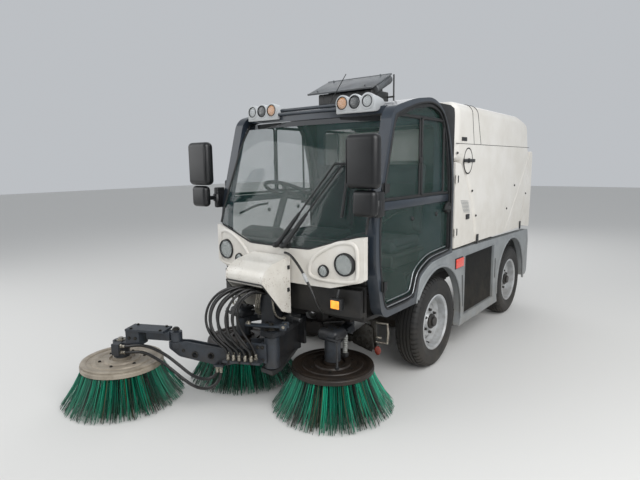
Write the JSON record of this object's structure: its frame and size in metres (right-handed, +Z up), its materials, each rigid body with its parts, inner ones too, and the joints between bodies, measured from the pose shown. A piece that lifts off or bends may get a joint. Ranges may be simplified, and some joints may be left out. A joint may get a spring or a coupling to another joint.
{
  "type": "compact road sweeper",
  "caption": "Compact road sweeper with a glazed two-seat cab, tipping hopper with tailgate, gutter brushes and a jointed third brush arm in front.",
  "frame": {"origin": "floor point under the middle of the object's box, third brush and mirrors included; the vehicle's own centreline is the plane x = 0.2068 m and its front axle is at y = -0.0675 m", "axes": "+Z up, the front looks towards -Y, the vehicle's left side is +X"},
  "size_m": [2.0136, 4.3849, 2.2227],
  "materials": {
    "white_gelcoat": "glossy moulded fibreglass",
    "grey_plastic": "textured mid grey moulding",
    "slate_paint": "satin slate grey paint",
    "black_plastic": "black moulded plastic",
    "dark_paint": "black chassis paint, dusty",
    "arm_paint": "slate grey paint, scuffed",
    "tinted_glass": "tinted safety glass",
    "lamp_glass": "clear lamp lenses",
    "tyre": "black tyre rubber",
    "rim_paint": "silver painted steel wheel",
    "engine_metal": "oily cast aluminium",
    "seat_fabric": "dark seat cloth",
    "worn_steel": "worn brown-black steel",
    "bristle": "green polypropylene bristles",
    "mesh": "dark perforated sheet",
    "hose_rubber": "black hydraulic hose"
  },
  "bodies": {
    "root": {"chassis_frame": "dark_paint", "front_axle": "dark_paint", "rear_axle": "dark_paint", "engine_block": "engine_metal", "cab_tub": "black_plastic", "cab_sides": "slate_paint", "cab_rear_wall": "dark_paint", "roof_panel": "slate_paint", "cab_glass": "tinted_glass", "front_panel": "white_gelcoat", "front_lamps": "lamp_glass", "dashboard": "black_plastic", "steering_wheel": "black_plastic", "seats": "seat_fabric", "roof_lamp_pods": "white_gelcoat", "roof_unit": "black_plastic", "mirrors": "black_plastic", "wipers": "black_plastic", "tower_frame": "arm_paint", "tower_cover": "white_gelcoat", "skirts": "grey_plastic", "side_grilles": "mesh", "engine_bulkhead": "dark_paint", "suction_mouth": "dark_paint"},
    "knuckle_left": {"knuckle_left": "dark_paint"},
    "knuckle_right": {"knuckle_right": "dark_paint"},
    "wheel_front_left": {"tyre_front_left": "tyre", "rim_front_left": "rim_paint"},
    "wheel_front_right": {"tyre_front_right": "tyre", "rim_front_right": "rim_paint"},
    "wheel_rear_left": {"tyre_rear_left": "tyre", "rim_rear_left": "rim_paint"},
    "wheel_rear_right": {"tyre_rear_right": "tyre", "rim_rear_right": "rim_paint"},
    "door_left": {"door_frame_left": "black_plastic", "door_glass_left": "tinted_glass"},
    "door_right": {"door_frame_right": "black_plastic", "door_glass_right": "tinted_glass"},
    "hatch_left": {"hatch_left": "white_gelcoat"},
    "hatch_right": {"hatch_right": "white_gelcoat"},
    "hopper": {"hopper_shell": "white_gelcoat"},
    "tailgate": {"tailgate": "white_gelcoat"},
    "brush_arm_left": {"brush_arm_left": "dark_paint"},
    "brush_arm_right": {"brush_arm_right": "dark_paint"},
    "brush_left": {"brush_disc_left": "worn_steel", "bristles_left": "bristle"},
    "brush_right": {"brush_disc_right": "worn_steel", "bristles_right": "bristle"},
    "third_swivel": {"third_swivel": "arm_paint", "hose_bundle": "hose_rubber"},
    "third_inner_arm": {"third_inner_arm": "arm_paint", "motor_hoses": "hose_rubber"},
    "third_outer_arm": {"third_outer_arm": "arm_paint"},
    "brush_third": {"brush_disc_third": "worn_steel", "bristles_third": "bristle"}
  },
  "joints": [
    {"name": "steer_left", "type": "hinge", "parent": "root", "child": "knuckle_left", "pos_m": [0.63684, -0.06751, 0.347], "axis": [0, 0, 1], "range_deg": [-35, 35]},
    {"name": "steer_right", "type": "hinge", "parent": "root", "child": "knuckle_right", "pos_m": [-0.22316, -0.06751, 0.347], "axis": [0, 0, 1], "range_deg": [-35, 35]},
    {"name": "wheel_front_left_spin", "type": "hinge", "parent": "knuckle_left", "child": "wheel_front_left", "pos_m": [0.76934, -0.06751, 0.347], "axis": [1, 0, 0], "continuous": true},
    {"name": "wheel_front_right_spin", "type": "hinge", "parent": "knuckle_right", "child": "wheel_front_right", "pos_m": [-0.35566, -0.06751, 0.347], "axis": [1, 0, 0], "continuous": true},
    {"name": "wheel_rear_left_spin", "type": "hinge", "parent": "root", "child": "wheel_rear_left", "pos_m": [0.76934, 1.66249, 0.347], "axis": [1, 0, 0], "continuous": true},
    {"name": "wheel_rear_right_spin", "type": "hinge", "parent": "root", "child": "wheel_rear_right", "pos_m": [-0.35566, 1.66249, 0.347], "axis": [1, 0, 0], "continuous": true},
    {"name": "door_left_hinge", "type": "hinge", "parent": "root", "child": "door_left", "pos_m": [0.90084, -0.91751, 1.1], "axis": [0, 0, -1], "range_deg": [0, 80]},
    {"name": "door_right_hinge", "type": "hinge", "parent": "root", "child": "door_right", "pos_m": [-0.48716, -0.91751, 1.1], "axis": [0, 0, 1], "range_deg": [0, 80]},
    {"name": "hatch_left_hinge", "type": "hinge", "parent": "root", "child": "hatch_left", "pos_m": [0.89684, 0.14449, 1.215], "axis": [0, 0, -1], "range_deg": [0, 100]},
    {"name": "hatch_right_hinge", "type": "hinge", "parent": "root", "child": "hatch_right", "pos_m": [-0.48316, 0.14449, 1.215], "axis": [0, 0, 1], "range_deg": [0, 100]},
    {"name": "hopper_tip", "type": "hinge", "parent": "root", "child": "hopper", "pos_m": [0.20684, 2.12249, 0.8], "axis": [-1, 0, 0], "range_deg": [0, 50]},
    {"name": "tailgate_hinge", "type": "hinge", "parent": "hopper", "child": "tailgate", "pos_m": [0.20684, 2.11049, 1.676], "axis": [1, 0, 0], "range_deg": [0, 75]},
    {"name": "brush_arm_left_swing", "type": "hinge", "parent": "root", "child": "brush_arm_left", "pos_m": [0.50684, -0.72251, 0.41], "axis": [0, 0, 1], "range_deg": [0, 35]},
    {"name": "brush_arm_right_swing", "type": "hinge", "parent": "root", "child": "brush_arm_right", "pos_m": [-0.09316, -0.72251, 0.41], "axis": [0, 0, -1], "range_deg": [-3, 27]},
    {"name": "brush_left_spin", "type": "hinge", "parent": "brush_arm_left", "child": "brush_left", "pos_m": [0.60184, -1.05251, 0.27], "axis": [0, 0, 1], "continuous": true},
    {"name": "brush_right_spin", "type": "hinge", "parent": "brush_arm_right", "child": "brush_right", "pos_m": [-0.23316, -1.03608, 0.27], "axis": [0, 0, 1], "continuous": true},
    {"name": "third_swing", "type": "hinge", "parent": "root", "child": "third_swivel", "pos_m": [0.35184, -1.34651, 0.4], "axis": [0, 0, 1], "range_deg": [0, 95], "deforming": ["hose_bundle"]},
    {"name": "third_lift", "type": "hinge", "parent": "third_swivel", "child": "third_inner_arm", "pos_m": [0.24309, -1.39723, 0.4], "axis": [-0.4226, 0.9063, 0], "range_deg": [0, 20]},
    {"name": "third_reach", "type": "hinge", "parent": "third_inner_arm", "child": "third_outer_arm", "pos_m": [-0.23726, -1.62121, 0.45], "axis": [0, 0, 1], "range_deg": [0, 35], "deforming": ["motor_hoses"]},
    {"name": "third_spin", "type": "hinge", "parent": "third_outer_arm", "child": "brush_third", "pos_m": [-0.60884, -1.79449, 0.257], "axis": [0, 0, 1], "continuous": true}
  ],
  "couplings": [
    {"joint": "steer_right", "follows": "steer_left", "ratio": 1}
  ]
}
